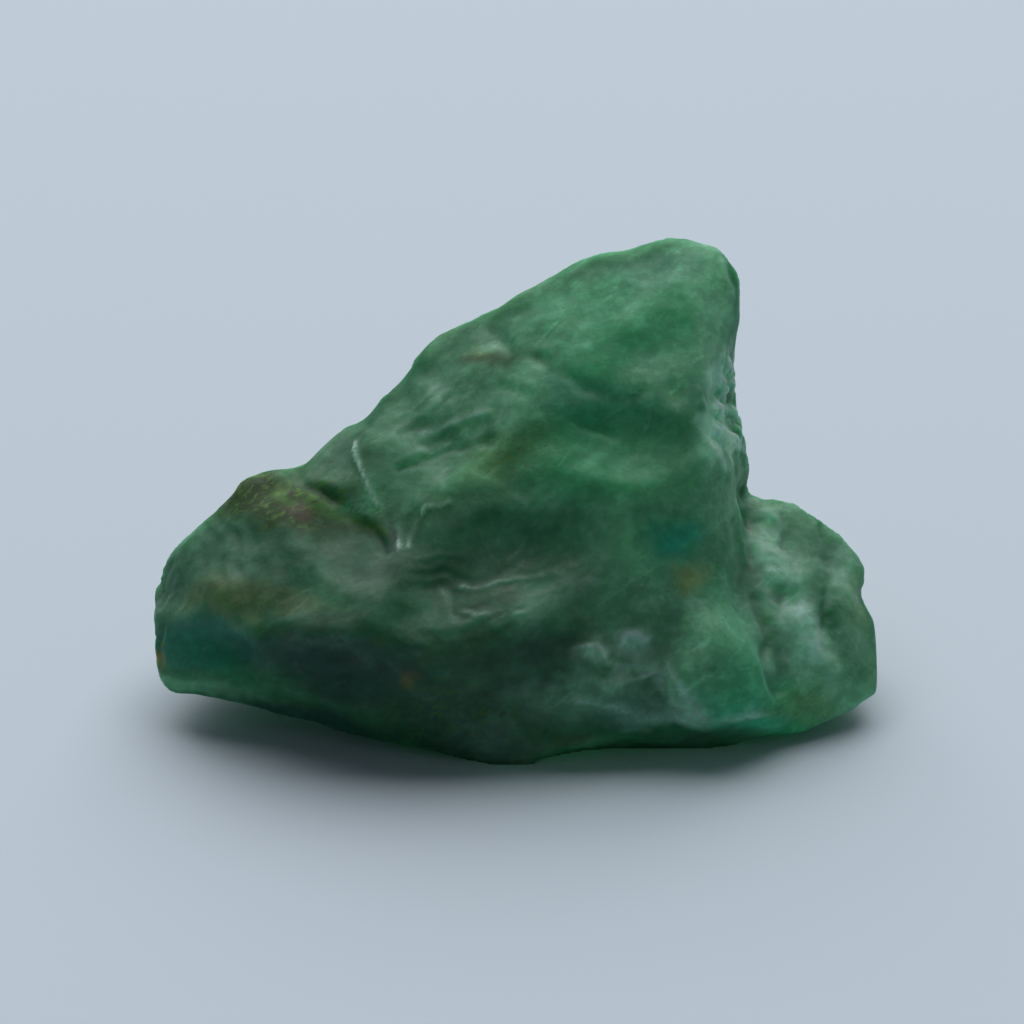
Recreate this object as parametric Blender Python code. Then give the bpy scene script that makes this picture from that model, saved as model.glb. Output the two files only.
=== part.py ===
"""A raw emerald: one broken piece of a larger crystal, lying on its flattest fracture.

Units are metres and +Z is up. The stone's broad face leans back from the viewer at -Y, so most
corners are laid out square to that face, as (across, up, back) in millimetres, and turned upright.
The piece is made as such a stone breaks: five blocks grown together, shell-shaped flakes struck
off them, ripples and lumps over all, and one flat face to rest on.
"""

import math
import random

import bmesh
import bpy
import numpy as np
from mathutils import Matrix, Vector, noise

MM = 0.001

# Driving dimensions, in millimetres.
WIDTH = 14.0  # left end to right end
FACE_LEAN = 28.0  # degrees that the broad face's layout leans back
GRAIN = 0.11  # spacing of the even mesh that the flakes and lumps are worked into
TRIANGLES = 9400  # of the finished stone
SMALL_FLAKES = 60
SEED = 11
WORN_ROUNDS = 2  # how often the first sharp edges are eased

# How far places stray, and over what distance, so that no hollow or ripple is a true curve.
STRAY = 0.16
STRAY_OVER = 0.9

# Unevenness all over: the size of its features, then their height.
LUMPS = (1.5, 0.09)
FACETS = (1.3, 0.05)
PEBBLING = (0.45, 0.012)
CRUMBS = (0.45, 0.16)
SMOOTH_BELOW = 0.15  # no unevenness this close to the rest face
ROUGH_ABOVE = 0.95  # all of it from here up

# The rest face: what lies this close to it is laid into it, and its rim has no shorter edges.
REST_BAND = 0.04
RIM_EDGE = 0.05

LEAN_COS = math.cos(math.radians(FACE_LEAN))
LEAN_SIN = math.sin(math.radians(FACE_LEAN))


def on_face(across, up, back):
    """A place laid out on the broad face, turned upright. The origin is the foremost point of the foot."""
    return Vector((across, up * LEAN_SIN + back * LEAN_COS, up * LEAN_COS - back * LEAN_SIN))


TOWARDS_VIEWER = on_face(0, 0, -1)

# The blocks, each the hull of its corners, laid out on the broad face as (across, up, back). The
# second list of each holds the corners that reach the ground, upright, as (x, y, z).
BLOCKS = {
    "spire": (
        [
            (-2.15, 7.70, 1.8),
            (-1.55, 8.32, 1.9),
            (-0.58, 8.82, 1.7),
            (0.75, 9.62, 1.6),
            (1.72, 10.08, 1.5),
            (3.22, 10.34, 1.2),
            (3.95, 10.16, 1.0),
            (4.32, 9.60, 1.0),
            (4.14, 8.10, 1.0),
            (4.12, 7.00, 1.3),
            (4.55, 5.30, 2.2),
            (3.50, 9.20, 0.3),
            (3.50, 7.30, -0.2),
            (0.30, 7.50, 0.1),
            (-1.60, 6.60, 0.3),
            (2.35, 5.60, -0.9),
            (3.60, 4.20, -0.7),
            (-0.35, 2.80, -1.6),
            (-1.85, 2.20, -1.6),
            (0.30, 1.20, -0.9),
            (2.35, 1.42, -1.05),
            (3.90, 1.23, -0.6),
            (4.25, 0.42, 0.5),
            (4.0, 9.2, 3.4),
            (1.0, 8.6, 3.8),
            (-1.6, 7.4, 4.2),
            (3.7, 6.8, 4.6),
            (3.9, 4.8, 6.7),
            (0.4, 5.7, 6.3),
            (-1.6, 5.4, 5.2),
        ],
        [
            (-0.34, 0.0, -0.35),
            (-1.6, 1.0, -0.35),
            (1.8, 1.10, -0.35),
            (3.6, 1.75, -0.35),
            (4.6, 1.4, -0.35),
            (4.3, 5.4, -0.35),
            (-1.6, 5.9, -0.35),
            (2.9, 7.0, 1.3),
            (0.6, 7.2, 1.1),
        ],
    ),
    "knob": (
        [
            (-7.06, 2.96, 1.6),
            (-6.84, 4.02, 1.6),
            (-6.00, 4.72, 1.4),
            (-5.34, 5.58, 1.2),
            (-4.66, 5.88, 1.0),
            (-4.25, 5.84, 1.0),
            (-7.04, 2.00, 1.2),
            (-6.86, 1.46, 1.0),
            (-5.60, 1.18, 0.8),
            (-3.99, 0.90, 0.6),
            (-2.26, 0.32, 0.2),
            (-1.00, 0.06, 0.0),
            (-0.34, 0.30, 0.0),
            (-5.90, 3.30, -0.1),
            (-4.95, 2.70, -0.9),
            (-4.18, 4.70, -0.2),
            (-3.41, 2.40, -1.6),
            (-1.90, 3.90, -1.4),
            (-1.68, 2.20, -1.75),
            (-0.30, 1.50, -1.2),
            (-6.20, 4.00, 3.2),
            (-5.40, 4.70, 3.6),
            (-4.20, 5.20, 3.8),
            (-4.60, 3.40, 4.4),
            (-1.60, 4.60, 4.8),
            (-6.20, 2.30, 2.6),
        ],
        [
            (-4.6, 3.2, 0.8),
            (-2.2, 4.6, 0.3),
            (-1.9, 1.6, 0.1),
        ],
    ),
    "saddle": (
        [
            (-4.20, 5.70, 1.3),
            (-3.38, 6.55, 1.7),
            (-2.76, 6.98, 1.9),
            (-2.05, 7.85, 1.9),
            (-3.10, 4.20, -0.3),
            (-3.90, 5.00, 0.2),
            (-1.68, 6.04, 0.3),
            (-0.20, 6.60, 1.0),
            (-0.50, 4.00, -0.6),
            (-3.40, 5.60, 3.8),
            (-2.00, 6.60, 4.4),
            (-1.00, 4.60, 5.2),
        ],
        [
            (-1.2, 4.6, 0.3),
        ],
    ),
    "lobe": (
        [
            (4.40, 5.20, 2.4),
            (4.76, 5.09, 2.3),
            (5.34, 5.18, 2.1),
            (6.12, 4.72, 1.9),
            (6.82, 3.90, 1.8),
            (6.90, 3.31, 1.8),
            (7.10, 2.00, 1.5),
            (7.02, 1.36, 1.2),
            (6.50, 0.94, 1.0),
            (5.43, 0.50, 0.6),
            (4.28, 0.40, 0.5),
            (5.05, 4.35, 1.3),
            (5.90, 2.90, 0.5),
            (5.60, 1.60, 0.1),
            (4.66, 1.42, -0.1),
            (3.90, 2.40, -0.4),
            (6.30, 3.60, 3.8),
            (5.40, 4.40, 4.2),
            (4.60, 4.40, 5.2),
            (6.50, 2.00, 2.8),
            (3.40, 3.00, 5.0),
        ],
        [
            (5.2, 3.6, 0.1),
            (3.5, 5.0, 0.1),
        ],
    ),
    "foot": (
        [
            (3.30, 2.90, -1.1),
            (3.00, 1.60, -1.35),
            (3.30, 0.75, -0.4),
            (4.10, 2.60, -1.0),
            (4.60, 2.30, -0.7),
            (4.50, 1.20, -0.75),
            (5.30, 1.70, -0.1),
            (5.20, 0.75, 0.1),
            (4.30, 0.42, 0.4),
            (3.40, 3.80, -0.3),
            (5.00, 2.60, 1.0),
        ],
        [
            (3.0, 1.4, 0.0),
            (4.8, 1.8, 0.1),
        ],
    ),
}

# The flakes struck off: where each hollow's mouth is on the side in view, as (across, up), or with
# back where it is out on the edge, then the way that it faces, as (across, up, back), its half
# length, half width and depth, and the turn of its long side from level, in degrees.
FLAKES = {
    "below_the_point": ((4.78, 7.25, 1.2), (1.0, 0.1, -0.45), 0.7, 0.8, 0.26, 0),
    "under_the_spire_face": ((1.40, 6.65), (0.1, -0.15, -1.0), 2.0, 0.60, 0.24, -16),
    "spire_left_face": ((-1.30, 6.60), (-0.35, 0.20, -1.0), 1.5, 0.9, 0.28, 40),
    "hazy_hollow": ((-3.10, 5.25), (-0.30, 0.15, -1.0), 1.45, 0.80, 0.30, -54),
    "groove_pit": ((-2.55, 4.30), (-0.2, 0.3, -1.0), 0.35, 0.24, 0.18, -50),
    "front_shell": ((-0.20, 4.30), (0.0, 0.05, -1.0), 2.5, 1.15, 0.42, 12),
    "front_ledge": ((-0.90, 3.20), (0.0, 0.35, -1.0), 0.9, 0.40, 0.15, 6),
    "front_ledge_right": ((1.15, 3.55), (0.0, 0.3, -1.0), 0.9, 0.40, 0.14, 16),
    "knob_side": ((-6.00, 2.30), (-0.4, -0.35, -1.0), 1.0, 0.6, 0.28, -10),
    "left_undercut": ((-3.40, 2.00), (-0.1, -0.55, -1.0), 1.7, 0.6, 0.28, -8),
    "knob_shoulder": ((-5.75, 4.20), (-0.3, 0.35, -1.0), 0.8, 0.35, 0.15, 28),
    "right_body": ((2.90, 4.70), (0.1, 0.2, -1.0), 1.4, 0.9, 0.22, 70),
    "lobe_upper_flute": ((5.45, 3.75), (0.2, 0.1, -1.0), 0.9, 0.38, 0.21, 68),
    "lobe_middle_flute": ((6.15, 3.10), (0.2, 0.1, -1.0), 0.8, 0.32, 0.17, 64),
    "lobe_lower_flute": ((5.45, 2.15), (0.2, 0.0, -1.0), 0.9, 0.38, 0.20, 60),
    "lobe_notch": ((7.10, 2.90, 1.7), (1.0, 0.1, -0.2), 0.35, 0.40, 0.16, 0),
    "lower_front": ((0.75, 2.35), (0.0, 0.15, -1.0), 0.9, 0.5, 0.20, 35),
    "low_front": ((0.75, 1.35), (0.1, -0.2, -1.0), 1.2, 0.5, 0.22, 12),
    "wedge_face": ((2.95, 1.15), (-0.35, -0.1, -1.0), 0.7, 0.45, 0.18, -40),
    "under_the_front": ((2.30, 0.20, 0.3), (0.0, -1.0, -0.25), 1.7, 0.75, 0.30, 0),
}

# Gentle swellings: where the middle of each is in view, its half length, half width and height,
# and its turn.
SWELLINGS = {
    "knob_crown": ((-4.75, 5.10), 0.9, 0.6, 0.16, 10),
    "knob_lower_lump": ((-5.75, 3.25), 0.9, 0.55, 0.22, 8),
    "ledge_lump": ((-4.00, 2.85), 0.9, 0.4, 0.18, -8),
    "middle_lump": ((0.90, 5.65), 1.3, 0.45, 0.15, -10),
    "right_lump": ((3.60, 5.90), 0.8, 0.5, 0.12, 60),
    "foot_bulge": ((4.30, 1.90), 1.1, 0.8, 0.15, 30),
    "spire_shoulder": ((-0.60, 8.10), 0.8, 0.5, 0.10, 30),
    "lobe_edge": ((6.50, 2.10), 0.5, 0.7, 0.12, 0),
}

# Ripples that run out over a broken face from the place where it was struck: that place, the near
# and the far reach, the middle and half spread of their fan in degrees, spacing and height.
RIPPLES = {
    "front_shell": ((-1.50, 6.60), 2.0, 4.2, -62, 38, 0.52, 0.13),
    "left_face": ((-3.60, 8.60), 1.6, 3.6, -38, 22, 0.60, 0.08),
    "lobe": ((3.60, 4.40), 1.4, 3.2, -30, 40, 0.50, 0.08),
    "low_front": ((2.90, 3.40), 1.2, 3.8, -128, 40, 0.55, 0.09),
}


# Where the stone has crumbled to sugary grains: the middle, then the half width, depth and height.
CRUMBLED = {
    "below_the_point": (on_face(4.15, 6.65, 1.0), 0.8, 1.2, 1.1),
    "left_end": (on_face(-7.0, 3.1, 1.6), 0.5, 1.2, 0.8),
    "lobe_end": (on_face(6.9, 3.4, 2.4), 0.5, 1.2, 0.6),
}


def hull(name, block):
    """One block: the hull of its corners."""
    laid_out, grounded = block
    corners = [on_face(*c) for c in laid_out] + [Vector(c) for c in grounded]
    bm = bmesh.new()
    made = bmesh.ops.convex_hull(bm, input=[bm.verts.new(c * MM) for c in corners])
    inside = {v for v in made["geom_interior"] if isinstance(v, bmesh.types.BMVert)}
    bmesh.ops.delete(bm, geom=list(inside), context="VERTS")
    bmesh.ops.recalc_face_normals(bm, faces=bm.faces)
    mesh = bpy.data.meshes.new(name)
    bm.to_mesh(mesh)
    bm.free()
    obj = bpy.data.objects.new(name, mesh)
    bpy.context.scene.collection.objects.link(obj)
    return obj


def settle(obj):
    """Makes what the object's modifiers show its own mesh."""
    graph = bpy.context.evaluated_depsgraph_get()
    made = bpy.data.meshes.new_from_object(obj.evaluated_get(graph))
    obj.modifiers.clear()
    obj.data = made


def even_mesh(obj, spacing):
    remesh = obj.modifiers.new("even mesh", "REMESH")
    remesh.mode = "VOXEL"
    remesh.voxel_size = spacing * MM
    settle(obj)


def smooth(obj, rounds):
    worn = obj.modifiers.new("worn edges", "SMOOTH")
    worn.factor = 0.5
    worn.iterations = rounds
    settle(obj)


def get_points(obj):
    points = np.empty(len(obj.data.vertices) * 3)
    obj.data.vertices.foreach_get("co", points)
    return points.reshape(-1, 3) / MM


def get_normals(obj):
    normals = np.empty(len(obj.data.vertices) * 3)
    obj.data.vertex_normals.foreach_get("vector", normals)
    return normals.reshape(-1, 3)


def set_points(obj, points):
    obj.data.vertices.foreach_set("co", (points * MM).ravel())
    obj.data.update()


def in_view(points, place):
    """The place on the side in view that lies at (across, up), unless its back is given too."""
    if len(place) == 3:
        return on_face(*place)
    axes = axes_of(TOWARDS_VIEWER, 0)
    local = points @ axes.T
    near = np.hypot(local[:, 0] - place[0], local[:, 1] - place[1]) < 2 * GRAIN
    return on_face(*place, -local[near, 2].max())


def stray(points):
    """How far each place is off."""
    return np.array([noise.noise_vector(Vector(p) / STRAY_OVER) * STRAY for p in points])


def axes_of(facing, turn):
    """The long side, the short side and the outward way of something that lies on a face."""
    out = facing.normalized()
    level = Vector((0, 0, 1)).cross(out).normalized()
    turned = Matrix.Rotation(math.radians(turn), 3, out)
    return np.array((turned @ level, turned @ out.cross(level), out))


def strike_flake(points, mouth, facing, half_length, half_width, depth, turn):
    """Presses the stone out of a wide ball, drawn out along its long side, and so leaves a hollow.

    Where the ball would bite deeper than the flake was thick, the hollow ends in a step instead.
    """
    radius = (half_width**2 + depth**2) / (2 * depth)
    axes = axes_of(facing, turn)
    drawn_out = np.array((half_length / half_width, 1.0, 1.0))
    centre = np.array(mouth + facing.normalized() * (radius - depth))
    off = stray(points)
    local = (points + off - centre) @ axes.T / drawn_out
    far = np.linalg.norm(local, axis=1)
    hit = far < radius
    most = 1.5 * depth
    push = most * np.tanh((radius - far[hit]) / most)
    local[hit] *= (1 + push / far[hit])[:, None]
    points[hit] = ((local[hit] * drawn_out) @ axes + centre) - off[hit]


def swell(points, middle, half_length, half_width, height, turn):
    axes = axes_of(TOWARDS_VIEWER, turn)
    local = (points - np.array(middle)) @ axes.T / (half_length, half_width, half_length)
    share = np.exp(-1.5 * np.sum(local**2, axis=1))
    points += share[:, None] * axes[2] * height


def ripple(points, struck, near, far, middle, spread, spacing, height):
    """Low steps, steep on their far side, on the side of the stone that faces the viewer."""
    axes = axes_of(TOWARDS_VIEWER, 0)
    local = (points + stray(points) - np.array(struck)) @ axes.T
    reach = np.hypot(local[:, 0], local[:, 1])
    angle = np.degrees(np.arctan2(local[:, 1], local[:, 0])) - middle
    inside = np.clip((reach - near) / 0.4, 0, 1) * np.clip((far - reach) / 0.4, 0, 1)
    inside *= np.clip((spread - np.abs(angle)) / 12, 0, 1) * (local[:, 2] > -2.5)
    uneven = np.array([noise.noise(Vector(p) / 1.1) for p in points])
    step = (reach / spacing + 0.8 * uneven) % 1.0
    inside *= np.clip(0.7 + 1.2 * uneven, 0, 1)
    profile = np.minimum(step / 0.75, (1.0 - step) / 0.25) - 0.5
    points += (inside * profile * height)[:, None] * axes[2]


def small_flakes(points, normals):
    """Small shallow flakes all over, none near the rest face, and only the smallest in view."""
    pick = random.Random(SEED)
    middle = points.mean(axis=0)
    ways = points - middle
    ways /= np.linalg.norm(ways, axis=1)[:, None]
    for _ in range(SMALL_FLAKES):
        way = Vector([pick.gauss(0, 1) for _ in range(3)]).normalized()
        lean = Vector([pick.gauss(0, 0.2) for _ in range(3)])
        size = pick.uniform(0.4, 1.2)
        longer = pick.uniform(1.0, 1.7)
        turn = pick.uniform(-40, 60)
        at = int(np.argmax(ways @ np.array(way)))
        if points[at][2] < 0.9:
            continue
        if Vector(normals[at]).dot(TOWARDS_VIEWER) > -0.4:
            size = 0.2 + 0.3 * size
        facing = Vector(normals[at]) + lean
        depth = size * 0.13
        mouth = Vector(points[at]) + facing.normalized() * depth * 0.2
        strike_flake(points, mouth, facing, size * longer, size, depth, turn)


def lumps(place, size):
    """Rounded unevenness with features of this size and of half of it."""
    return noise.fractal(Vector(place) / size, 0.9, 2.0, 2, noise_basis="PERLIN_NEW")


def ridges(place, size):
    """Sharp-edged unevenness: high along lines and lower between them."""
    away = noise.voronoi(Vector(place) / size)[0]
    return min(away[1] - away[0], 0.5) * 2


def crumbled(place):
    """How crumbled the stone is at a place, from 0 to 1."""
    most = 0.0
    for middle, half_width, half_depth, half_height in CRUMBLED.values():
        off = Vector(place) - middle
        share = (off.x / half_width) ** 2 + (off.y / half_depth) ** 2 + (off.z / half_height) ** 2
        most = max(most, 1.0 - share)
    return most


def roughen(points, normals):
    """Lumps, facets and fine unevenness, fading out towards the rest face."""
    for k, place in enumerate(points.copy()):
        push = LUMPS[1] * lumps(place, LUMPS[0])
        push += FACETS[1] * (ridges(place + (3.1, 0.0, 1.7), FACETS[0]) - 0.5)
        push += PEBBLING[1] * lumps(place + (7.0, 2.0, 5.0), PEBBLING[0])
        push += CRUMBS[1] * (ridges(place, CRUMBS[0]) - 0.5) * crumbled(place)
        share = (place[2] - SMOOTH_BELOW) / (ROUGH_ABOVE - SMOOTH_BELOW)
        points[k] += normals[k] * push * min(max(share, 0.0), 1.0)


def cut_rest_face(obj):
    """One flat face at z = 0, and the stone moved so that its box stands centred on the origin."""
    bm = bmesh.new()
    bm.from_mesh(obj.data)
    for v in bm.verts:
        if abs(v.co.z) < REST_BAND * MM:
            v.co.z = 0
    geometry = bm.verts[:] + bm.edges[:] + bm.faces[:]
    cut = bmesh.ops.bisect_plane(
        bm, geom=geometry, dist=1e-7, plane_co=(0, 0, 0), plane_no=(0, 0, 1), clear_inner=True
    )
    rim = [e for e in cut["geom_cut"] if isinstance(e, bmesh.types.BMEdge)]
    bmesh.ops.holes_fill(bm, edges=rim, sides=0)
    on_rim = [v for v in bm.verts if abs(v.co.z) < 0.001 * MM]
    for v in on_rim:
        v.co.z = 0
    bmesh.ops.remove_doubles(bm, verts=on_rim, dist=RIM_EDGE * MM)
    bmesh.ops.triangulate(bm, faces=[f for f in bm.faces if len(f.verts) > 3])
    low = Vector([min(v.co[i] for v in bm.verts) for i in range(3)])
    high = Vector([max(v.co[i] for v in bm.verts) for i in range(3)])
    stretch = WIDTH * MM / (high.x - low.x)
    middle = (low + high) / 2
    for v in bm.verts:
        v.co = (v.co - Vector((middle.x, middle.y, 0))) * stretch
    bmesh.ops.recalc_face_normals(bm, faces=bm.faces)
    bm.to_mesh(obj.data)
    bm.free()


def emerald_material():
    material = bpy.data.materials.new("emerald")
    material.use_nodes = True
    surface = material.node_tree.nodes["Principled BSDF"]
    surface.inputs["Base Color"].default_value = (0.055, 0.16, 0.085, 1.0)
    surface.inputs["Roughness"].default_value = 0.3
    surface.inputs["Metallic"].default_value = 0.0
    surface.inputs["IOR"].default_value = 1.575
    return material


def main():
    for obj in list(bpy.data.objects):
        bpy.data.objects.remove(obj)
    noise.seed_set(SEED)
    stone = None
    for name, block in BLOCKS.items():
        piece = hull(name, block)
        if stone is None:
            stone = piece
            continue
        piece.hide_render = True
        piece.display_type = "WIRE"
        union = stone.modifiers.new(name, "BOOLEAN")
        union.operation = "UNION"
        union.object = piece
    settle(stone)
    stone.name = "emerald_crystal"
    even_mesh(stone, GRAIN)
    smooth(stone, WORN_ROUNDS)
    points = get_points(stone)
    for mouth, facing, half_length, half_width, depth, turn in FLAKES.values():
        at = in_view(points, mouth)
        strike_flake(points, at, on_face(*facing), half_length, half_width, depth, turn)
    for middle, half_length, half_width, height, turn in SWELLINGS.values():
        swell(points, in_view(points, middle), half_length, half_width, height, turn)
    set_points(stone, points)
    small_flakes(points, get_normals(stone))
    set_points(stone, points)
    even_mesh(stone, GRAIN)
    points = get_points(stone)
    roughen(points, get_normals(stone))
    for struck, near, far, middle, spread, spacing, height in RIPPLES.values():
        ripple(points, on_face(*struck, 0), near, far, middle, spread, spacing, height)
    set_points(stone, points)
    thin = stone.modifiers.new("fewer triangles", "DECIMATE")
    thin.ratio = TRIANGLES / (2 * len(stone.data.polygons))
    settle(stone)
    cut_rest_face(stone)
    stone.data.shade_flat()
    stone.data.materials.clear()
    stone.data.materials.append(emerald_material())


main()
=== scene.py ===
"""A raw emerald on a pale table, lit softly from above and behind."""

import math
import bpy
import numpy as np
from mathutils import Matrix, Vector, noise


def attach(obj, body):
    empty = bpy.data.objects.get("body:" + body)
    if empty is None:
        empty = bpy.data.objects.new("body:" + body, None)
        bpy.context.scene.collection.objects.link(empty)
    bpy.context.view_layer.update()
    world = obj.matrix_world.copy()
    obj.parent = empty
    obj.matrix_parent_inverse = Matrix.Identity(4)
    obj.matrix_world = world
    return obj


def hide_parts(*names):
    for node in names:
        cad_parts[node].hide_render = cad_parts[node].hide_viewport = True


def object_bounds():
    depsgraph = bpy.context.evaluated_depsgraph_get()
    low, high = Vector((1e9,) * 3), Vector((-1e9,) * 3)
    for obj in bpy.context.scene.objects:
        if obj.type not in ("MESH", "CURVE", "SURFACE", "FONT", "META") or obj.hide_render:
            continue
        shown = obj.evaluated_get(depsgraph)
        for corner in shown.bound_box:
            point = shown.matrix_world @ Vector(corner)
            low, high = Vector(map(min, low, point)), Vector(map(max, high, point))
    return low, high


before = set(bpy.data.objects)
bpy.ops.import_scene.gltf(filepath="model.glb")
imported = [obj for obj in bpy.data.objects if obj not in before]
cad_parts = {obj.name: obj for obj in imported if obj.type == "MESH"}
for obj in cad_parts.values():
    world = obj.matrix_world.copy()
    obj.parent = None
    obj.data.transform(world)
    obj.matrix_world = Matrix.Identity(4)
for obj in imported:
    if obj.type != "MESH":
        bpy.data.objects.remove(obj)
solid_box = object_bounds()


# ---------------------------------------------------------------------------------------------
# The table: a board faced with pale, faintly blue laminate, matt and even. It lies flat under the
# stone and reaches far past the view on all sides.
# ---------------------------------------------------------------------------------------------
MM = 0.001
TABLE_WIDTH = 900 * MM
TABLE_COLOUR = (0.50, 0.58, 0.67, 1.0)
TABLE_ROUGHNESS = 0.75
TABLE_SHINE = 0.2

scene = bpy.context.scene
table_mesh = bpy.data.meshes.new("table")
half = TABLE_WIDTH / 2
table_mesh.from_pydata(
    [(-half, -half, 0), (half, -half, 0), (half, half, 0), (-half, half, 0)], [], [(0, 1, 2, 3)]
)
table = bpy.data.objects.new("table", table_mesh)
scene.collection.objects.link(table)

laminate = bpy.data.materials.new("pale laminate")
laminate.use_nodes = True
surface = laminate.node_tree.nodes["Principled BSDF"]
surface.inputs["Base Color"].default_value = TABLE_COLOUR
surface.inputs["Roughness"].default_value = TABLE_ROUGHNESS
surface.inputs["Specular IOR Level"].default_value = TABLE_SHINE
table_mesh.materials.append(laminate)


# ---------------------------------------------------------------------------------------------
# The camera: a long lens at macro distance, square on to the stone's broad face, which leans back.
# Places on that face are laid out from the foremost point of the foot, as (across, up) in mm.
# ---------------------------------------------------------------------------------------------
FACE_LEAN = math.radians(28.0)
FOOT = Vector((0.04, -3.83, 0.0))  # the foremost point of the foot, in mm
VIEW_WIDTH = 19.6
VIEW_PIXELS = 1024
PIXEL = 0.01923  # the size of a pixel of the view on that face, in mm
FOOT_PIXEL = (517.5, 764)  # where the foremost point of the foot shows, from the upper left
LENS = 250.0
SENSOR = 36.0

ACROSS = Vector((1, 0, 0))
UP = Vector((0, math.sin(FACE_LEAN), math.cos(FACE_LEAN)))
OUT = Vector((0, -math.cos(FACE_LEAN), math.sin(FACE_LEAN)))


def at_pixel(x, y):
    """The (across, up) on the broad face, in mm, of a pixel of the view."""
    return (x - FOOT_PIXEL[0]) * PIXEL, (FOOT_PIXEL[1] - y) * PIXEL


camera_data = bpy.data.cameras.new("macro camera")
camera_data.lens = LENS
camera_data.sensor_width = SENSOR
camera_data.clip_start = 5 * MM
camera_data.clip_end = 5.0
camera = bpy.data.objects.new("macro camera", camera_data)
across, up = at_pixel(VIEW_PIXELS / 2, VIEW_PIXELS / 2)
distance = VIEW_WIDTH / SENSOR * LENS
camera.location = (FOOT + ACROSS * across + UP * up + OUT * distance) * MM
camera.rotation_euler = (-OUT).to_track_quat("-Z", "Y").to_euler()
scene.collection.objects.link(camera)
scene.camera = camera


# ---------------------------------------------------------------------------------------------
# The stone: one broken piece of raw emerald, lying loose. The solid gives its form, and the fine
# mesh made here adds what breaking and rubbing left on it: worn edges, ripples, ledges, flutes,
# chips and sugary grains.
# ---------------------------------------------------------------------------------------------
FINE_GRAIN = 0.067  # the width of the mesh's squares, in mm
EDGE_ROUNDS = 18
STEP_ROUNDS = 90
WEAR_BY = 0.5  # how far each round of wear goes

stone = bpy.data.objects.new("raw_emerald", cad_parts["emerald_crystal"].data.copy())
scene.collection.objects.link(stone)

remesh = stone.modifiers.new("even mesh", "REMESH")
remesh.mode = "VOXEL"
remesh.voxel_size = FINE_GRAIN * MM


def rub(name, rounds, where=""):
    """Wears the stone, all over or as far as the vertex group named says."""
    rubbed = stone.modifiers.new(name, "SMOOTH")
    rubbed.vertex_group = where
    rubbed.factor = WEAR_BY
    rubbed.iterations = rounds


def settle():
    """Makes what the stone's modifiers show its own mesh, and gives it with its points in mm."""
    graph = bpy.context.evaluated_depsgraph_get()
    mesh = bpy.data.meshes.new_from_object(stone.evaluated_get(graph))
    stone.modifiers.clear()
    stone.data = mesh
    places = np.empty(len(mesh.vertices) * 3)
    mesh.vertices.foreach_get("co", places)
    return mesh, places.reshape(-1, 3) / MM


FACE_AXES = np.array((ACROSS, UP, OUT))


def laid_out(places):
    """The places as (across, up, out) on the broad face, in mm."""
    return (places - np.array(FOOT)) @ FACE_AXES.T


rub("worn edges", EDGE_ROUNDS)
even, points = settle()
count = len(points)
face = laid_out(points)

# Steps that are worn to a slope: the middle as (across, up), the half sizes and how far worn.
WORN_STEPS = {
    "foot of the scoop": ((0.2, 3.5), (2.0, 0.8), 1.0),
    "left of the scoop": ((-2.5, 3.8), (0.9, 0.7), 1.0),
    "knob's crown": ((-4.5, 4.9), (0.8, 0.5), 0.7),
    "hollow": ((-3.1, 5.2), (1.0, 0.8), 0.6),
    "under the spire": ((1.6, 6.2), (1.6, 0.8), 0.6),
    "between glow and lobe": ((4.7, 1.8), (0.7, 1.3), 1.0),
    "lobe": ((5.6, 3.2), (1.3, 1.7), 0.7),
}
WORN_REACH = 1.4  # where the wear ends, in half sizes
WORN_DEPTH = 4.0  # how deep behind the foot it goes, in mm
LEAST_WEAR = 0.01
wear = np.zeros(count)
for middle, half_size, worn_by in WORN_STEPS.values():
    far = np.linalg.norm((face[:, :2] - middle) / half_size, axis=1)
    inside = np.clip(WORN_REACH - far, 0, 1) * (face[:, 2] > -WORN_DEPTH)
    wear = np.maximum(wear, inside * worn_by)
group = stone.vertex_groups.new(name="worn steps")
for k in np.flatnonzero(wear > LEAST_WEAR):
    group.add([int(k)], float(wear[k]), "REPLACE")
rub("worn steps", STEP_ROUNDS, where=group.name)
even, points = settle()
normals = np.empty(count * 3)
even.vertex_normals.foreach_get("vector", normals)
normals = normals.reshape(-1, 3)
noise.seed_set(7)  # the same relief on every run


def noise_at(size, shift=(0, 0, 0)):
    """Soft noise, from -1 to 1, at every point, with lumps about this many mm apart."""
    offset = Vector(shift)
    return np.array([noise.noise(Vector(p) / size + offset) for p in points])


def facets_at(size, shift=(0, 0, 0)):
    """Flat chips with sharp ridges between them: 1 on a ridge, falling to 0 within each chip."""
    offset = Vector(shift)
    away = [noise.voronoi(Vector(p) / size + offset)[0] for p in points]
    return np.array([1.0 - min((a[1] - a[0]) * 2, 1.0) for a in away])


# Lumps and chips all over, each with its size and its height in mm.
BROAD_LUMPS, BROAD_HEIGHT = 1.3, 0.03
MIDDLING_LUMPS, MIDDLING_HEIGHT = 0.55, 0.010
FINE_LUMPS, FINE_HEIGHT = 0.22, 0.004
CHIPS, CHIP_HEIGHT = 1.2, 0.050
SMALL_CHIPS, SMALL_CHIP_HEIGHT = 0.42, 0.006
CHIP_LEVEL = 0.3  # the height within a chip that stays where it is
FACE_CHIPS = 0.45  # the broad face's chips are this much lower than the back's
STRAY, STRAY_SIZE, FINE_STRAY = 0.28, 0.9, 0.10  # how ragged the edges of things are, in mm

broad = noise_at(BROAD_LUMPS, (4, 1, 7))
middling = noise_at(MIDDLING_LUMPS, (8, 3, 5))
fine = noise_at(FINE_LUMPS, (1, 9, 2))
strays = np.stack([noise_at(STRAY_SIZE, (k, 2 * k, 3)) for k in (11, 17, 23)], axis=1)
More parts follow.
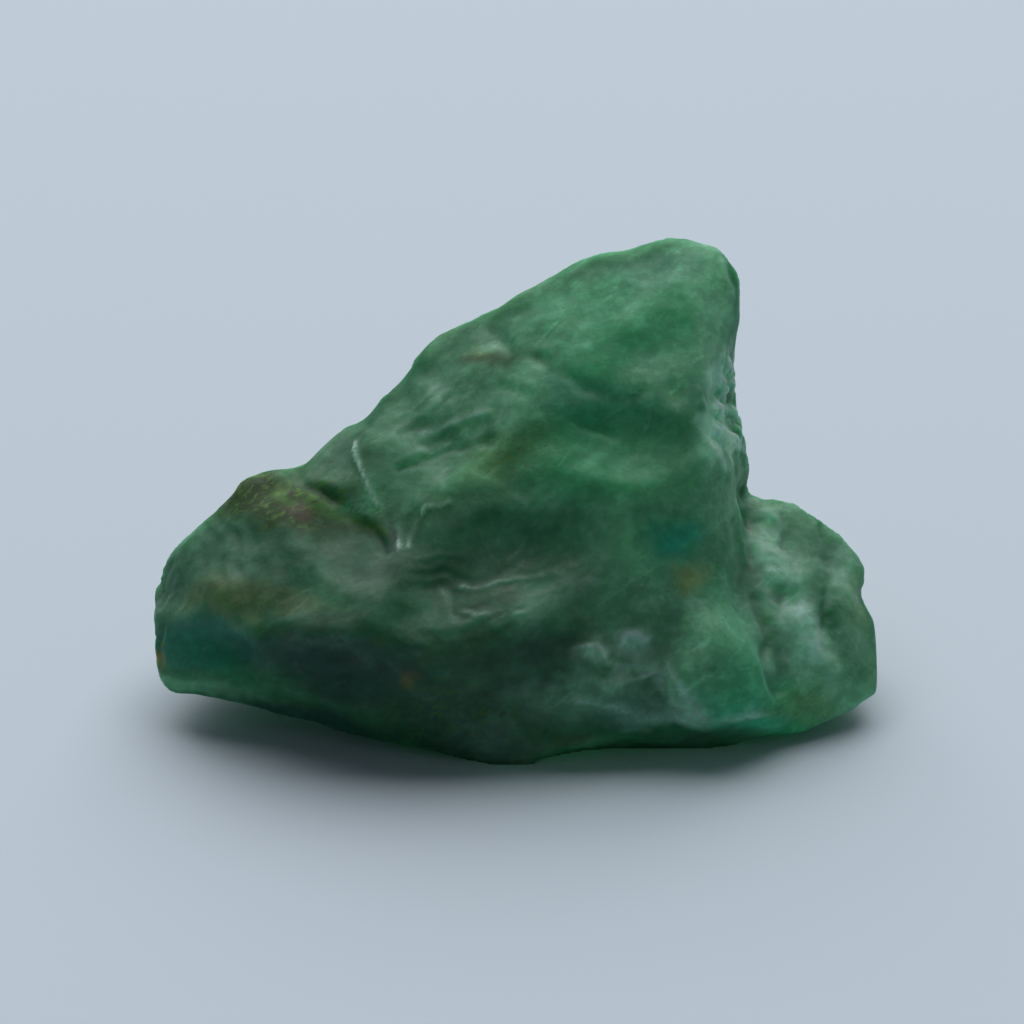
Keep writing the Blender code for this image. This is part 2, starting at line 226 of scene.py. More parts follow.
# Each point as (across, up, out) on the broad face, and then a little astray, for ragged edges.
face = laid_out(points)
astray = face + STRAY * strays + FINE_STRAY * np.stack((fine, -fine, middling), axis=1)
# 1 where the surface faces the way the broad face does, falling to 0 where it turns aside.
TURNS_ASIDE, TURNS_OVER = -0.1, 0.3
facing = np.clip((normals @ np.array(OUT) - TURNS_ASIDE) / TURNS_OVER, 0, 1)

push = BROAD_HEIGHT * broad + MIDDLING_HEIGHT * middling + FINE_HEIGHT * fine
chips = facets_at(CHIPS, (3, 5, 1)) * np.where(facing > 0, FACE_CHIPS, 1.0)
push += CHIP_HEIGHT * (chips - CHIP_LEVEL) + SMALL_CHIP_HEIGHT * facets_at(SMALL_CHIPS, (6, 2, 9))

# Fans of low curved steps, which run out from where the stone was struck: that place, the near and
# the far reach, the middle and half spread of the fan in degrees, the spacing and the height.
RIPPLES = {
    "in the scoop": ((-1.50, 6.60), 1.8, 4.3, -62, 42, 0.34, 0.036),
    "on the left slope": ((-3.60, 8.60), 1.6, 3.8, -38, 26, 0.36, 0.040),
    "on the lobe": ((3.60, 4.40), 1.2, 3.4, -30, 44, 0.38, 0.020),
    "low on the front": ((2.90, 3.40), 1.2, 3.8, -128, 40, 0.32, 0.030),
    "on the knob": ((-2.60, 5.20), 2.0, 4.2, 200, 30, 0.40, 0.020),
}
FAN_FADE = 0.4  # how far a fan takes to fade out at its near and far reach, in mm
FAN_SIDE_FADE = 12  # and at its sides, in degrees
FAN_WANDER = 1.2  # how far the steps wander, in spacings
RISING = 0.65  # the share of a step that rises, before it drops
for struck, near, far, middle, spread, spacing, height in RIPPLES.values():
    aside = astray[:, 0] - struck[0]
    above = astray[:, 1] - struck[1]
    reach = np.hypot(aside, above)
    angle = (np.degrees(np.arctan2(above, aside)) - middle + 180) % 360 - 180
    inside = np.clip((reach - near) / FAN_FADE, 0, 1) * np.clip((far - reach) / FAN_FADE, 0, 1)
    inside *= np.clip((spread - np.abs(angle)) / FAN_SIDE_FADE, 0, 1) * facing
    inside *= np.clip(0.6 + 1.8 * broad, 0, 1)  # the fans come and go with the lumps
    step = (reach / spacing + FAN_WANDER * broad) % 1.0
    push += inside * (np.minimum(step / RISING, (1.0 - step) / (1.0 - RISING)) - 0.5) * height

# Ledges, ridges and cracks: the line that each follows over the broad face as (across, up), its
# half width and its height in mm, which is under 0 for a crack, and how white it is made along it:
# partly frosted edge and partly a painted glint, the highlight a ledge catches.
LINES = {
    "crease under the spire": (
        [(-0.5, 8.3), (0.8, 7.5), (2.0, 7.0), (3.5, 7.2)], 0.16, -0.09, 0.0
    ),
    "second crease": ([(-0.3, 7.3), (0.7, 6.7), (1.9, 6.3)], 0.12, -0.05, 0.0),
    "spire's right edge": ([(3.95, 9.6), (4.12, 8.9), (4.05, 8.0), (3.9, 7.4)], 0.08, 0.04, 0.5),
    "curved edge in the hollow": (
        [(-3.08, 6.1), (-3.06, 5.8), (-2.93, 5.4), (-2.74, 5.05)], 0.045, 0.05, 0.9
    ),
    "rim of the hollow": ([(-3.8, 5.5), (-3.3, 5.9), (-2.9, 6.5)], 0.10, -0.05, 0.0),
    "leaf on the slope": ([(-1.9, 6.3), (-1.2, 6.6), (-0.6, 6.75)], 0.08, 0.06, 0.3),
    "crack below the leaf": ([(-2.2, 5.6), (-1.4, 6.0), (-0.5, 6.2)], 0.07, -0.08, 0.0),
    "groove to the pit": ([(-4.4, 5.7), (-3.4, 5.0), (-2.6, 4.2)], 0.11, -0.16, 0.0),
    "tick by the pit": ([(-2.35, 4.55), (-2.28, 4.2)], 0.05, 0.05, 0.9),
    "arc by the pit": ([(-2.12, 4.25), (-2.0, 4.62), (-1.75, 4.95), (-1.3, 5.1)], 0.05, 0.05, 0.8),
    "keel, left": ([(-6.9, 2.95), (-5.3, 2.67), (-3.2, 2.4), (-2.1, 1.6)], 0.22, 0.08, 0.1),
    "keel, front": ([(-2.1, 1.6), (-1.2, 0.9), (-0.4, 0.3)], 0.20, 0.06, 0.05),
    "ledge tick": ([(-1.42, 3.3), (-1.22, 2.75)], 0.06, 0.06, 1.0),
    "ledge, upper": ([(-1.1, 3.42), (-0.3, 3.5), (0.4, 3.62)], 0.05, 0.04, 0.35),
    "ledge, lower": ([(-1.2, 2.95), (-0.5, 2.85), (0.2, 2.9)], 0.05, 0.04, 0.3),
    "front ledge, left": ([(1.1, 2.2), (1.5, 2.3), (1.7, 2.1)], 0.07, 0.06, 0.5),
    "front ledge, right": ([(1.95, 2.35), (2.2, 2.6), (2.4, 2.45)], 0.08, 0.07, 0.6),
    "front ledge, low": ([(1.2, 1.7), (1.9, 1.55), (2.5, 1.75)], 0.07, 0.05, 0.4),
    "front ledge, middle": ([(1.7, 2.0), (2.3, 1.95)], 0.06, 0.05, 0.4),
    "front band": ([(1.2, 1.25), (2.2, 1.02), (3.2, 0.92)], 0.10, 0.05, 0.5),
    "wedge, upper edge": ([(2.75, 2.0), (3.2, 1.45), (3.65, 0.75)], 0.06, 0.06, 0.5),
    "wedge, lower edge": ([(2.75, 2.0), (2.8, 1.3), (3.0, 0.7)], 0.06, -0.04, 0.0),
    "edge down from the notch": ([(3.9, 6.4), (4.2, 5.2), (4.3, 4.0)], 0.12, 0.07, 0.1),
    "lobe crease": ([(4.4, 5.3), (4.5, 3.9), (4.75, 2.6), (5.0, 1.5)], 0.14, -0.14, 0.0),
    "lobe rib, first": ([(4.9, 4.6), (4.8, 3.8), (5.1, 3.1)], 0.22, 0.10, 0.2),
    "lobe rib, second": ([(5.3, 3.5), (5.5, 2.6), (5.9, 1.8)], 0.24, 0.12, 0.2),
    "lobe rib, third": ([(6.2, 4.3), (6.45, 3.7), (6.4, 3.2)], 0.22, 0.10, 0.2),
    "lobe crack, first": ([(5.15, 4.8), (5.2, 3.9), (5.3, 3.2)], 0.07, -0.07, 0.0),
    "lobe crack, second": ([(5.9, 4.5), (6.0, 3.5), (5.85, 2.4)], 0.07, -0.07, 0.0),
    "glow, lower edge": ([(3.9, 0.95), (4.6, 1.05), (5.4, 0.9)], 0.08, 0.04, 0.3),
}
LINE_STRAY = 0.5  # how far the lines go astray, as a share of what the patches do
# White along the lines and on the grains: frosted edges and crumbs, and painted glints on the
# ledges.
frost_and_glint = np.zeros(count)
for line, half_width, height, frosted_and_glinting in LINES.values():
    nearest = np.full(count, np.inf)
    for start, end in zip(line, line[1:]):
        run = np.subtract(end, start)
        off = astray[:, :2] * LINE_STRAY + face[:, :2] * (1 - LINE_STRAY) - start
        share = np.clip(off @ run / (run @ run), 0, 1)
        nearest = np.minimum(nearest, np.linalg.norm(off - share[:, None] * run, axis=1))
    ridge = np.exp(-((nearest / half_width) ** 2)) * facing
    ridge *= np.clip(0.8 + 1.5 * middling, 0.2, 1)  # stronger and weaker along its length
    push += ridge * height
    frost_and_glint = np.maximum(frost_and_glint, ridge * frosted_and_glinting)

# Where it has broken up into sugary grains: the middle and half sizes as (across, up, out), the
# height of the grains and how frosted they are.
GRAIN_SIZE = 0.34
GRAIN_LEVEL = 0.35  # how far the broken surface stands out, in heights
BROKEN_REACH = 1.2  # where it ends, in half sizes
BROKEN = {
    "notch below the point": ((4.15, 6.9, -0.6), (0.6, 1.1, 2.2), 0.16, 1.0),
    "left end": ((-6.95, 2.8, -1.5), (0.45, 1.4, 2.2), 0.16, 0.15),
    "low on the front": ((2.0, 1.9, 0.0), (1.3, 0.7, 1.4), 0.05, 0.3),
    "lobe's upper rim": ((5.1, 5.1, -2.2), (0.9, 0.25, 1.0), 0.04, 0.3),
    "knob's crown": ((-4.5, 5.3, -1.2), (0.7, 0.3, 0.8), 0.03, 0.0),
}
grains = noise_at(GRAIN_SIZE, (5, 5, 5))
gaps = facets_at(GRAIN_SIZE)
for middle, half_size, height, frosted_and_glinting in BROKEN.values():
    inside = np.clip(BROKEN_REACH - np.linalg.norm((astray - middle) / half_size, axis=1), 0, 1)
    push += inside * (grains - gaps + GRAIN_LEVEL) * height
    white = np.clip(inside * 2, 0, 1) * np.clip(grains * 2.5 + 0.4, 0, 1)  # on the grains' tops
    frost_and_glint = np.maximum(frost_and_glint, white * frosted_and_glinting)

# Where iron and moss-green clay fill its finest cracks: the middle, the half sizes and the
# strength.
STAINED = {
    "knob's crown": ((-4.6, 5.1), (1.5, 0.5), 1.0),
    "along the groove": ((-3.2, 4.8), (0.9, 0.35), 0.5),
    "knob, low": ((-5.2, 3.1), (1.0, 0.4), 0.5),
    "yellow spot": ((-0.6, 7.9), (0.7, 0.3), 0.3),
    "middle of the face": ((0.0, 6.0), (0.9, 0.4), 0.5),
    "left end": ((-6.8, 2.2), (0.4, 0.6), 0.7),
    "foot": ((-0.9, 0.9), (1.6, 0.6), 0.5),
    "lobe": ((5.2, 1.2), (0.8, 0.4), 0.3),
}
STAIN_REACH = 1.5
stained = np.zeros(count)
for middle, half_size, strength in STAINED.values():
    far = np.linalg.norm((astray[:, :2] - middle) / half_size, axis=1)
    stained = np.maximum(stained, np.clip(STAIN_REACH - far, 0, 1) * facing * strength)

# Heights above the table in mm: what is as low as the first rests on it, and the relief fades in
# from the second on, over the third, so that the stone still rests flat.
RESTING, REST_LEVEL, REST_BAND = 0.05, 0.08, 0.3
calm = np.clip((points[:, 2] - REST_LEVEL) / REST_BAND, 0, 1)
points += normals * (push * calm)[:, None]

# Where the outline stands out or draws in more than the solid's: the middle, the half sizes and
# how far it is moved, each as (across, up, out).
OUTLINE = {
    "left end": ((-7.0, 2.4, -1.4), (0.9, 1.3, 2.0), (-0.24, -0.02, 0)),
    "left end, low": ((-6.7, 1.5, -1.0), (0.9, 0.6, 1.5), (-0.10, -0.06, 0)),
    "saddle": ((-3.7, 6.1, -1.6), (0.9, 0.6, 1.2), (-0.08, 0.14, 0)),
    "spire's upper edge": ((0.4, 8.9, -1.5), (1.6, 0.7, 2.0), (0.04, -0.07, 0)),
    "notch below the point": ((4.3, 7.2, -1.2), (0.6, 1.2, 1.6), (-0.16, 0, 0)),
    "lobe, low end": ((6.9, 1.9, -1.3), (0.7, 0.8, 1.6), (0.16, -0.03, 0)),
    "lobe, nick": ((6.9, 3.2, -1.3), (0.5, 0.35, 1.6), (-0.20, 0, 0)),
}
for middle, half_size, move in OUTLINE.values():
    share = np.exp(-np.sum(((face - middle) / half_size) ** 2, axis=1)) * calm
    points += share[:, None] * (np.array(move) @ FACE_AXES)

# What is moved past the solid's sides is eased back within them, over this many mm.
ROUNDING = 0.1
low, high = np.array(solid_box) / MM
for limit, side in ((high, 1), (low, -1)):
    past = np.clip((points - limit) * side / ROUNDING + 1, 0, None)[:, :2]
    points[:, :2] += side * ROUNDING * (1 - np.exp(-past) - past)
points = np.clip(points, low, high)
points[points[:, 2] < RESTING, 2] = 0.0
even.vertices.foreach_set("co", (points * MM).ravel())
even.update()
even.shade_smooth()

# What cloud, clear crystal and stain make of beryl's green, with painted light and shade among
# them:
# painted shade for the underside and the pit, a painted glow, and white that is partly painted
# highlight.
COLOURS = {
    "clear": (0.03, 0.22, 0.105),
    "bright": (0.03, 0.42, 0.19),
    # Painted glow: light coming through the thin lower right, laid in as colour.
    "painted glow": (0.07, 0.76, 0.43),
    "milky": (0.1, 0.5, 0.25),
    "silk": (0.16, 0.62, 0.34),
    "cloudy": (0.27, 0.66, 0.42),
    "veiled": (0.18, 0.46, 0.29),
    "dull": (0.09, 0.26, 0.15),
    "pale": (0.34, 0.72, 0.48),
    "haze": (0.17, 0.46, 0.32),
    "smoke": (0.1, 0.27, 0.19),
    "lichen": (0.15, 0.2, 0.08),
    "sea": (0.008, 0.36, 0.25),
    # White of frosted grains, and also painted highlights and painted light through the lobe.
    "frosted_and_glinting": (0.4, 0.8, 0.6),
    # White of crumbs, and also painted highlights and painted light through the lobe.
    "white": (0.5, 0.92, 0.74),
    "deep": (0.036, 0.15, 0.095),
    "sage": (0.06, 0.19, 0.12),
    # Painted shade, dark: laid on the underside and the foot.
    "painted shade, dark": (0.018, 0.085, 0.06),
    "teal": (0.003, 0.22, 0.15),
    # Painted shade, darkest: laid on the underside, the foot and in the pit.
    "painted shade, darkest": (0.01, 0.045, 0.05),
    "olive": (0.015, 0.07, 0.006),
    "moss": (0.16, 0.36, 0.08),
    "straw": (0.4, 0.58, 0.16),
    "tan": (0.55, 0.48, 0.15),
    "rust": (0.06, 0.042, 0.01),
    "orange": (0.65, 0.28, 0.03),
}
# Patch by patch over the broad face: the middle and the half size in pixels of the view, the turn
# in degrees, the softness of the edge, the colour and its strength.
# Most patches are the stone's own colour; the ones marked below paint shade, darker rims, a glow
# and highlights.
PATCHES = {
    "right body": ((635, 525), (105, 100), 0, 0.6, "veiled", 0.8),
    "spire": ((620, 318), (130, 80), 30, 0.35, "silk", 0.92),
    "spire, heart": ((622, 345), (70, 34), 25, 0.7, "bright", 0.5),
    "spire, left": ((528, 348), (40, 26), 35, 0.6, "clear", 0.5),
    "spire, top": ((672, 262), (60, 22), 12, 0.6, "haze", 0.6),
    # Painted shade: a darker rim along the spire's right outline.
    "spire, rim": ((734, 310), (9, 66), -3, 0.8, "clear", 0.8),
    "spire, right edge": ((712, 312), (16, 62), -3, 0.5, "pale", 0.65),
    "spire, low corner": ((678, 380), (56, 28), 10, 0.6, "pale", 0.8),
    "under the spire": ((590, 402), (62, 20), -16, 0.6, "teal", 0.65),
    "left of the spire": ((500, 400), (46, 32), 30, 0.7, "cloudy", 0.7),
    "shoulder": ((455, 372), (60, 30), 38, 0.6, "veiled", 0.8),
    "yellow spot": ((476, 353), (7, 8), 30, 0.8, "straw", 0.5),
    "yellow spot's rim": ((488, 356), (30, 10), 10, 0.6, "olive", 0.75),
    "left slope": ((435, 428), (66, 44), 35, 0.5, "veiled", 0.8),
    "left slope, pale": ((462, 437), (26, 10), 30, 0.6, "cloudy", 0.8),
    # Painted shade: a darker rim along the outline of the left slope.
    "left slope, rim": ((360, 420), (80, 10), 42, 0.6, "clear", 0.7),
    "left slope, low": ((410, 480), (50, 26), 35, 0.6, "veiled", 0.9),
    "hollow": ((350, 472), (60, 34), -50, 0.5, "dull", 0.9),
    "hollow, low": ((362, 500), (26, 15), 20, 0.7, "cloudy", 0.9),
    "knob": ((250, 560), (100, 60), 8, 0.5, "sage", 0.9),
    "knob crown": ((268, 500), (70, 28), -2, 0.45, "olive", 1.0),
    "knob crown, right": ((345, 530), (44, 16), -22, 0.6, "olive", 0.7),
    "knob rust": ((303, 508), (20, 8), -12, 0.6, "rust", 0.95),
    "knob speck": ((284, 493), (12, 6), 15, 0.8, "moss", 0.9),
    "knob crown, edge": ((340, 512), (36, 6), -28, 0.8, "moss", 0.5),
    "knob pale": ((232, 596), (38, 20), 8, 0.7, "lichen", 0.75),
    "knob pale, right": ((300, 602), (34, 12), -12, 0.7, "lichen", 0.6),
    "knob left end": ((172, 592), (18, 40), 0, 0.5, "sage", 0.8),
    "knob side": ((215, 644), (62, 26), -8, 0.4, "teal", 0.95),
    "knob lower rim": ((205, 686), (60, 10), -10, 0.6, "cloudy", 0.75),
    "knob orange": ((166, 657), (8, 8), 0, 0.7, "orange", 0.7),
    # Painted shade: the underside at the lower left and the foot, which face down away from the
    # light, are painted dark.
    "under": ((345, 668), (100, 44), -14, 0.5, "painted shade, darkest", 0.95),
    "under, low": ((430, 712), (60, 30), -22, 0.6, "painted shade, dark", 0.85),
    "foot, left": ((320, 726), (110, 24), -14, 0.5, "painted shade, darkest", 1.0),
    "foot, middle": ((440, 744), (56, 14), -22, 0.7, "painted shade, dark", 0.85),
    "orange stain": ((414, 680), (8, 10), 0, 0.8, "orange", 0.4),
    # Painted shade in the pit.
    "pit": ((389, 543), (9, 12), 10, 0.6, "painted shade, darkest", 0.9),
    "left of the scoop": ((388, 578), (56, 36), -14, 0.5, "deep", 1.0),
    "below the pit": ((428, 612), (46, 26), 0, 0.6, "clear", 0.8),
    "scoop": ((485, 545), (95, 50), 14, 0.5, "deep", 0.75),
    "scoop, upper": ((455, 503), (44, 16), 24, 0.7, "dull", 0.7),
    "scoop, streak": ((515, 538), (60, 16), 12, 0.7, "smoke", 0.7),
    "grey ledge": ((485, 608), (36, 12), 6, 0.6, "deep", 0.85),
    # Painted highlight: a pale glint on the ledge.
    "bright ledge": ((528, 627), (20, 10), 20, 0.7, "frosted_and_glinting", 0.9),
    "pale middle": ((572, 588), (24, 20), 30, 0.7, "smoke", 0.75),
    "front": ((520, 672), (100, 50), 0, 0.5, "deep", 0.9),
    "front, ledges": ((625, 652), (46, 26), 12, 0.7, "veiled", 0.8),
    # Painted highlights: this patch and the three below are pale glints on the front ledges.
    "front, spot": ((635, 635), (12, 13), 10, 0.8, "white", 0.8),
    "front, spot, left": ((596, 652), (16, 7), 15, 0.8, "frosted_and_glinting", 0.8),
    "front, spot, low": ((640, 668), (20, 7), -10, 0.8, "frosted_and_glinting", 0.6),
    "front, low": ((590, 693), (60, 18), 4, 0.7, "cloudy", 0.75),
    "front, band": ((645, 712), (56, 11), 0, 0.6, "haze", 0.85),
    "body streak": ((642, 585), (11, 26), -12, 0.8, "veiled", 0.8),
    "foot, right": ((690, 743), (84, 8), 2, 0.8, "smoke", 0.8),
    "tip": ((496, 742), (42, 16), -8, 0.6, "smoke", 0.9),
    # Painted glow: the lower right is painted bright green for the light that comes through it,
    # and its pale strip is a painted highlight.
    "glow": ((762, 700), (62, 36), 5, 0.6, "painted glow", 0.95),
    "glow, upper": ((722, 645), (52, 52), 20, 0.8, "silk", 0.85),
    "glow, left": ((698, 640), (26, 30), 20, 0.8, "cloudy", 0.8),
    "glow, bright": ((736, 712), (20, 9), 20, 0.7, "white", 0.65),
    # Painted highlight on the wedge's face.
    "wedge": ((681, 699), (37, 18), -52, 0.45, "frosted_and_glinting", 0.85),
    "lobe": ((820, 600), (75, 95), 0, 0.4, "veiled", 0.9),
    "lobe, top": ((790, 520), (40, 16), -30, 0.6, "veiled", 0.85),
    # Painted light: the pale streaks on the lobe are light coming through its back, painted in as
    # colour.
    "lobe, left streak": ((770, 560), (17, 44), 8, 0.6, "frosted_and_glinting", 0.9),
    "lobe, right streak": ((849, 566), (13, 36), 18, 0.7, "frosted_and_glinting", 0.8),
    "lobe, middle streak": ((803, 632), (19, 48), 14, 0.5, "white", 1.0),
    "lobe, low streak": ((836, 664), (11, 30), 16, 0.8, "pale", 0.8),
    "lobe, between": ((829, 606), (9, 60), 14, 0.6, "clear", 0.75),
    "lobe, between, left": ((784, 606), (7, 40), 14, 0.8, "clear", 0.35),
    "lobe, yellow": ((858, 600), (14, 22), 0, 0.7, "moss", 0.4),
    "lobe, low": ((838, 700), (44, 24), 0, 0.6, "cloudy", 0.85),
    "lobe, lower left": ((795, 704), (30, 16), 0, 0.7, "moss", 0.5),
    # Painted glow along the glow's right side.
    "glow's right side": ((768, 682), (9, 34), 10, 0.9, "milky", 0.7),
    "glow, foot": ((722, 742), (70, 9), 0, 0.9, "clear", 0.7),
    # Painted shade: darker rims along the outline of the spire, the shoulder and the lobe.
    "spire, upper rim": ((596, 264), (112, 9), 17, 0.9, "clear", 0.75),
    "shoulder rim": ((470, 330), (70, 9), 33, 0.9, "clear", 0.7),
    "lobe rim, right": ((874, 648), (8, 58), 0, 0.8, "clear", 0.85),
    "lobe rim, upper": ((833, 543), (58, 10), -49, 0.7, "clear", 0.9),
    "right, grey": ((712, 478), (34, 50), 0, 0.6, "veiled", 0.75),
    "middle": ((585, 455), (60, 42), 10, 0.8, "bright", 0.75),
    "middle, right": ((655, 448), (46, 50), 0, 0.9, "milky", 0.5),
    "middle, olive": ((508, 450), (40, 18), 20, 0.8, "moss", 0.3),
    "teal spot": ((672, 542), (27, 21), 15, 0.6, "sea", 0.95),
    "teal spot's ring": ((640, 556), (14, 30), 20, 0.7, "milky", 0.5),
    "tan spot": ((688, 580), (14, 10), 0, 0.9, "tan", 0.45),
    "broken grains": ((722, 418), (18, 46), -8, 0.5, "frosted_and_glinting", 0.95),
    "white crumb, upper": ((712, 370), (9, 13), -20, 0.8, "white", 0.7),
    "white crumb, lower": ((706, 424), (14, 8), -25, 0.7, "white", 0.9),
}
PATCH_DEPTH = 2.6  # the half size of every patch into the stone, in mm
NEARBY = 0.3  # the face's level at a patch is taken this close round its middle, in mm
tint = np.zeros((count, 3))
cover = np.zeros(count)
for pixel, half_size, turn, edge, colour, strength in PATCHES.values():
    middle = at_pixel(*pixel)
    near = (np.hypot(*(face[:, :2] - middle).T) < NEARBY) & (facing > 0.5)
    level = face[near, 2].max() if near.any() else 0.0
    off = astray - (*middle, level)
    cos, sin = math.cos(math.radians(turn)), math.sin(math.radians(turn))
    along = (off[:, 0] * cos + off[:, 1] * sin) / (half_size[0] * PIXEL)
    aside = (off[:, 1] * cos - off[:, 0] * sin) / (half_size[1] * PIXEL)
    far = np.sqrt(along**2 + aside**2 + (off[:, 2] / PATCH_DEPTH) ** 2)
    mask = np.clip((1 + edge - far) / (2 * edge), 0, 1)
    mask = mask * mask * (3 - 2 * mask) * strength  # eased in and out
    tint = tint * (1 - mask)[:, None] + np.array(COLOURS[colour]) * mask[:, None]
    cover = cover * (1 - mask) + mask
tint /= np.maximum(cover, 1e-6)[:, None]
laid = even.attributes.new("patches", "FLOAT_COLOR", "POINT")
laid.data.foreach_set("color", np.hstack((tint, cover[:, None])).ravel())
for name, amount in (("frost_and_glint", frost_and_glint), ("stain", stained)):
    even.attributes.new(name, "FLOAT", "POINT").data.foreach_set("value", amount)

# Emerald: clear green beryl, clouded by healed cracks and stained in them by iron.
emerald = bpy.data.materials.new("emerald")
emerald.use_nodes = True
tree = emerald.node_tree
beryl = tree.nodes["Principled BSDF"]


def add(kind, sockets=None, **settings):
    """A new node, with its settings, and each named socket given a value or joined to a source."""
    made = tree.nodes.new(kind)
    for name, value in settings.items():
        setattr(made, name, value)
    for socket, source in (sockets or {}).items():
        if isinstance(source, bpy.types.NodeSocket):
            tree.links.new(source, made.inputs[socket])
        else:
            made.inputs[socket].default_value = source
    return made


# From the stone's own place in metres to (across, up, out) in mm from the foremost point of the
# foot.
TILT = FACE_LEAN - math.pi / 2
place = add(
    "ShaderNodeMapping",
    {
        "Vector": add("ShaderNodeTexCoord").outputs["Object"],
        "Location": -(Matrix.Rotation(TILT, 3, "X") @ FOOT),
        "Rotation": (TILT, 0, 0),
        "Scale": (1 / MM, 1 / MM, 1 / MM),
    },
).outputs[0]


def cloud(size, turn=0, detail=3, rough=0.5, twist=0.0, shift=0.0):
    """Noise with features of this size in mm, (along, aside, out), turned by these degrees."""
    turned = add(
        "ShaderNodeMapping",
        {
            "Vector": place,
            "Location": (shift, 2 * shift, 3 * shift),
            "Rotation": (0, 0, math.radians(turn)),
            "Scale": size,
        },
        vector_type="TEXTURE",
    ).outputs[0]
    shape = {"Scale": 1.0, "Detail": detail, "Roughness": rough, "Distortion": twist}
    return add("ShaderNodeTexNoise", {"Vector": turned, **shape}).outputs[0]


def ramp(value, low, high, to_low=0.0, to_high=1.0):
    """Where a value runs from low to high, a smooth run between the two others."""
    return add(
        "ShaderNodeMapRange",
        {"Value": value, "From Min": low, "From Max": high, "To Min": to_low, "To Max": to_high},
        interpolation_type="SMOOTHSTEP",
    ).outputs[0]


def both(one, other):
    """Two masks multiplied, so that it is full only where both are."""
    return add("ShaderNodeMath", {0: one, 1: other}, operation="MULTIPLY").outputs[0]


def blend(factor, under, over, how="MIX"):
    """One colour with another over it, by this factor."""
    mixed = add("ShaderNodeMix", {0: factor}, data_type="RGBA", blend_type=how)
    for socket, source in ((mixed.inputs[6], under), (mixed.inputs[7], over)):
        if isinstance(source, bpy.types.NodeSocket):
            tree.links.new(source, socket)
        else:
            socket.default_value = (*source, 1.0)
    return mixed.outputs[2]


def times(under, amounts):
    """A colour with its red, green and blue multiplied by these amounts."""
    return blend(1.0, under, amounts, "MULTIPLY")


# The body away from the patches: clear, deep and milky clouds, with olive ones here and there.
CLEAR_GREEN = (0.03, 0.27, 0.11)
DEEP_GREEN = (0.02, 0.15, 0.07)
MILKY_GREEN = (0.17, 0.50, 0.29)
OLIVE_GREEN = (0.12, 0.20, 0.06)
deep = ramp(cloud((2.6, 2.0, 2.2), 30, shift=2), 0.36, 0.66)
milky = ramp(cloud((2.4, 1.5, 1.8), 40, twist=0.8, shift=9), 0.42, 0.68, 0, 0.9)
olive = ramp(cloud((1.2, 0.8, 1.0), 10, shift=14), 0.56, 0.72, 0, 0.6)
colour = blend(deep, CLEAR_GREEN, DEEP_GREEN)
colour = blend(milky, colour, MILKY_GREEN)
colour = blend(olive, colour, OLIVE_GREEN)
# The patches lay in the stone's colours together with painted shade, painted rims, a painted glow
# and painted highlights.
patches = add("ShaderNodeAttribute", attribute_name="patches")
colour = blend(patches.outputs["Alpha"], colour, patches.outputs["Color"])

# Cloudiness within each patch, at two sizes.
MOTTLE_DARK, MOTTLE_MILKY = (0.72, 0.80, 0.78), (1.30, 1.22, 1.28)
mottle = cloud((0.75, 0.50, 0.6), 30, detail=4, rough=0.55, shift=4)
darker = times(colour, MOTTLE_DARK)
milkier = times(colour, MOTTLE_MILKY)
colour = blend(ramp(mottle, 0.46, 0.30), colour, darker)
colour = blend(ramp(mottle, 0.52, 0.72), colour, milkier)

FOG_DARK, FOG_PALE = (0.82, 0.88, 0.86), (1.15, 1.12, 1.15)
fog = cloud((0.24, 0.20, 0.22), detail=3, rough=0.6, shift=8)
colour = blend(ramp(fog, 0.40, 0.65), times(colour, FOG_DARK), times(colour, FOG_PALE))

# Veils: healed cracks, seen as pale wisps that run up to the right.
VEIL_PALE, VEIL_HAZE = (1.5, 1.3, 1.4), (0.02, 0.02, 0.02)
wisps = cloud((1.5, 0.45, 0.9), 38, detail=4, rough=0.65, twist=1.6, shift=3)
veiled = blend(1.0, times(colour, VEIL_PALE), VEIL_HAZE, "ADD")
colour = blend(ramp(wisps, 0.57, 0.74), colour, veiled)

# Stains: moss-green and brown specks in the finest cracks.
MOSS = (0.10, 0.22, 0.03)
BROWN = (0.07, 0.05, 0.015)
stain = add("ShaderNodeAttribute", attribute_name="stain").outputs["Fac"]
specks = cloud((0.22, 0.10, 0.15), 25, detail=3, rough=0.6, twist=0.8, shift=6)
colour = blend(both(stain, ramp(specks, 0.53, 0.62)), colour, MOSS)
colour = blend(both(stain, ramp(specks, 0.42, 0.34)), colour, BROWN)

# Frost and glints: edges and grains that are broken up so finely that they are white, and painted
# glints, highlights laid in as white along the ledges and edges.
FROST_AND_GLINT = (0.56, 0.90, 0.76)
frosted_and_glinting = add("ShaderNodeAttribute", attribute_name="frost_and_glint").outputs["Fac"]
grain = cloud((0.09, 0.09, 0.09), detail=2, rough=0.6, shift=1)
colour = blend(both(frosted_and_glinting, ramp(grain, 0.36, 0.58, 0.45, 1.0)), colour, FROST_AND_GLINT)
tree.links.new(colour, beryl.inputs["Base Color"])

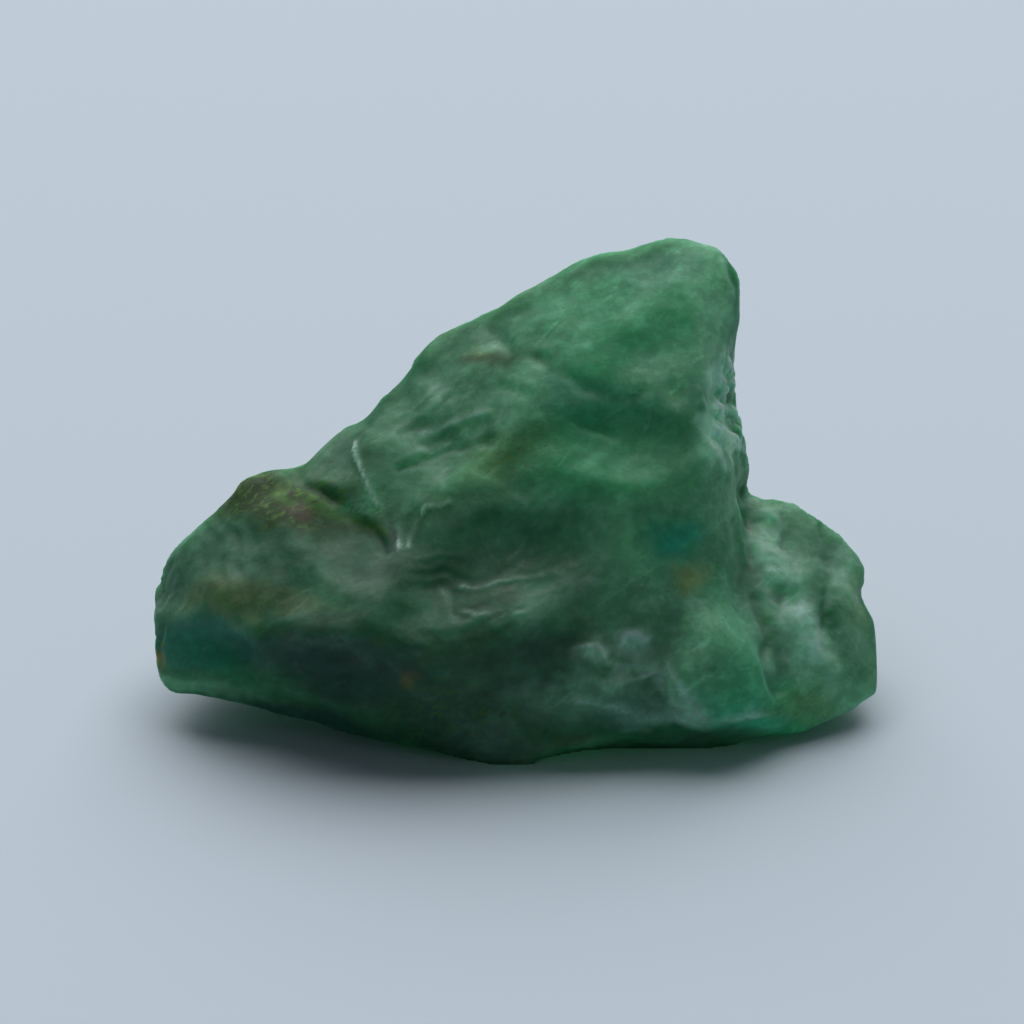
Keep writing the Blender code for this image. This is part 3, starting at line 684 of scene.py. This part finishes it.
# The broken surface is satiny, duller where the mottle is dark, and bumpy with fine grain.
DULL, SATIN = 0.72, 0.52
tree.links.new(ramp(mottle, 0.3, 0.7, DULL, SATIN), beryl.inputs["Roughness"])
bump = add("ShaderNodeBump", {"Height": grain, "Strength": 0.35, "Distance": 0.02 * MM})
tree.links.new(bump.outputs["Normal"], beryl.inputs["Normal"])

# Beryl's own optics: half of the light goes through, and the cloudy half scatters green.
BERYL_IOR = 1.575
beryl.inputs["IOR"].default_value = BERYL_IOR
beryl.inputs["Specular IOR Level"].default_value = 0.05
beryl.inputs["Transmission Weight"].default_value = 0.5
beryl.inputs["Subsurface Weight"].default_value = 1.0
beryl.inputs["Subsurface Radius"].default_value = (0.3, 1.0, 0.5)
beryl.inputs["Subsurface Scale"].default_value = 1.0 * MM
ABSORBED = {"Color": (0.02, 0.82, 0.45, 1.0), "Density": 330.0}
absorb = add("ShaderNodeVolumeAbsorption", ABSORBED)
tree.links.new(absorb.outputs["Volume"], tree.nodes["Material Output"].inputs["Volume"])
even.materials.clear()
even.materials.append(emerald)

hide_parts("emerald_crystal")
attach(stone, "root")


# ---------------------------------------------------------------------------------------------
# The light: a wide panel of white cloth lit from behind, held above and behind the stone, in a
# pale room that fills in the shadows evenly.
# ---------------------------------------------------------------------------------------------
PANEL_PLACE = Vector((0.0, 0.31, 0.44))
PANEL_WIDTH = 0.75
PANEL_POWER = 4.9
PANEL_COLOUR = (1.0, 0.99, 0.97)
ROOM_COLOUR = (0.86, 0.93, 1.0, 1.0)
ROOM_BRIGHTNESS = 0.10

panel_light = bpy.data.lights.new("top panel", "AREA")
panel_light.shape = "SQUARE"
panel_light.size = PANEL_WIDTH
panel_light.energy = PANEL_POWER
panel_light.color = PANEL_COLOUR
panel = bpy.data.objects.new("top panel", panel_light)
panel.location = PANEL_PLACE
panel.rotation_euler = (-PANEL_PLACE).to_track_quat("-Z", "Y").to_euler()
scene.collection.objects.link(panel)

room = bpy.data.worlds.new("pale room")
room.use_nodes = True
air = room.node_tree.nodes["Background"]
air.inputs["Color"].default_value = ROOM_COLOUR
air.inputs["Strength"].default_value = ROOM_BRIGHTNESS
scene.world = room
scene.view_settings.view_transform = "Standard"
